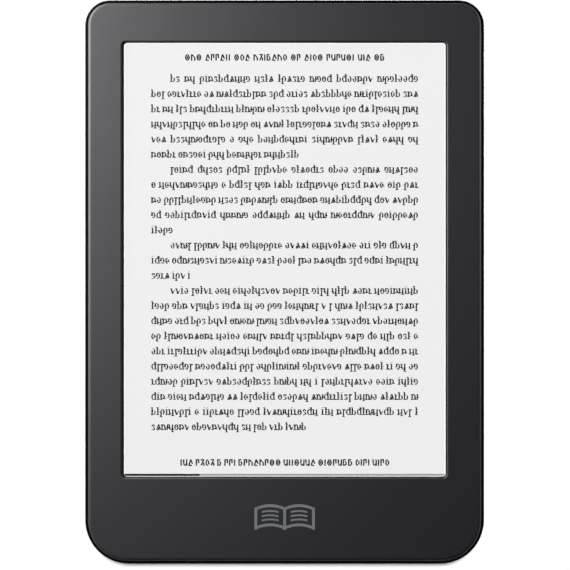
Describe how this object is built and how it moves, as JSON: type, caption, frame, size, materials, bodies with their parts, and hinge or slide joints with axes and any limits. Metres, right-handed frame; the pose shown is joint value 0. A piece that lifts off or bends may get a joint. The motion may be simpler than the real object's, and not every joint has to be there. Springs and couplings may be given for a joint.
{
  "type": "e-reader",
  "caption": "Slim e-reader with an e-paper screen set in a raised plastic front frame, round-cornered back cover, bottom USB-C port and a rear power button.",
  "frame": {"origin": "middle of the back face, which the device lies on", "axes": "+X to the right seen from the front, +Y towards the top of the device, +Z out of the screen"},
  "size_m": [0.1126, 0.159, 0.0087],
  "materials": {
    "frame_plastic": "satin, fine grain",
    "cover_plastic": "matt, dotted grip texture on the back",
    "silicone": "matt",
    "black_mask": "matt black",
    "screen_film": "anti-glare film over the e-paper",
    "clear_acrylic": "clear moulded acrylic",
    "flex_amber": "polyimide ribbon",
    "led_white": "white LED package",
    "ink_laminate": "e-paper laminate",
    "display_glass": "thin backplane glass",
    "chip_black": "moulded epoxy",
    "adhesive": "double-sided tape",
    "cast_magnesium": "die-cast, shot-blasted",
    "steel": "stamped",
    "battery_foil": "aluminium-laminate pouch",
    "foam": "open-cell foam",
    "board_green": "solder mask",
    "wire_red": "insulated wire",
    "connector_white": "nylon",
    "ferrite": "ferrite",
    "capacitor_tan": "ceramic",
    "connector_black": "glass-filled nylon",
    "flex_copper": "copper on polyimide",
    "cable_black": "coaxial cable jacket",
    "gold": "gold plating",
    "port_steel": "drawn stainless steel",
    "button_plastic": "semi-gloss",
    "plunger_plastic": "nylon",
    "spring_steel": "snap dome"
  },
  "bodies": {
    "root": {"antenna": "flex_copper", "antenna_cable": "cable_black", "antenna_connector": "gold", "back_cover": "cover_plastic", "backplane_glass": "display_glass", "battery_board": "board_green", "battery_cell": "battery_foil", "battery_foam": "foam", "battery_leads": "wire_red", "battery_plug": "connector_white", "battery_socket": "connector_white", "battery_tape": "adhesive", "board_screws": "steel", "button_seal": "silicone", "capacitors": "capacitor_tan", "chassis_screws": "steel", "crystals": "steel", "display_connector": "connector_black", "display_flex": "flex_amber", "display_power_chip": "chip_black", "display_tape": "adhesive", "driver_chips": "chip_black", "eink_laminate": "ink_laminate", "flash_chip": "chip_black", "front_frame": "frame_plastic", "hall_sensor": "chip_black", "inductors": "ferrite", "light_bar_flex": "flex_amber", "light_bar_leds": "led_white", "light_connector": "connector_black", "light_guide": "clear_acrylic", "light_pipe": "clear_acrylic", "main_board": "board_green", "memory_chip": "chip_black", "mid_frame": "cast_magnesium", "perimeter_seal": "silicone", "power_chip": "chip_black", "processor": "chip_black", "screen_gasket": "black_mask", "shield_can": "steel", "status_led": "led_white", "switch_body": "connector_black", "switch_dome": "spring_steel", "touch_connector": "connector_black", "touch_film": "screen_film", "touch_flex": "flex_amber", "usb_contacts": "gold", "usb_seal": "silicone", "usb_shell": "port_steel", "usb_tongue": "connector_black", "wireless_module": "steel"},
    "power_button": {"power_button": "button_plastic"},
    "switch_plunger": {"switch_plunger": "plunger_plastic"}
  },
  "joints": [
    {"name": "power_button_press", "type": "slide", "parent": "root", "child": "power_button", "axis": [0, 0, 1], "range_m": [0, 0.00025], "stiffness_N_per_m": 4000, "springref_m": -0.00015, "deforming": ["switch_dome"]},
    {"name": "switch_plunger_press", "type": "slide", "parent": "root", "child": "switch_plunger", "axis": [0, 0, 1], "range_m": [0, 0.00025]}
  ],
  "couplings": [
    {"joint": "switch_plunger_press", "follows": "power_button_press", "ratio": 1}
  ]
}
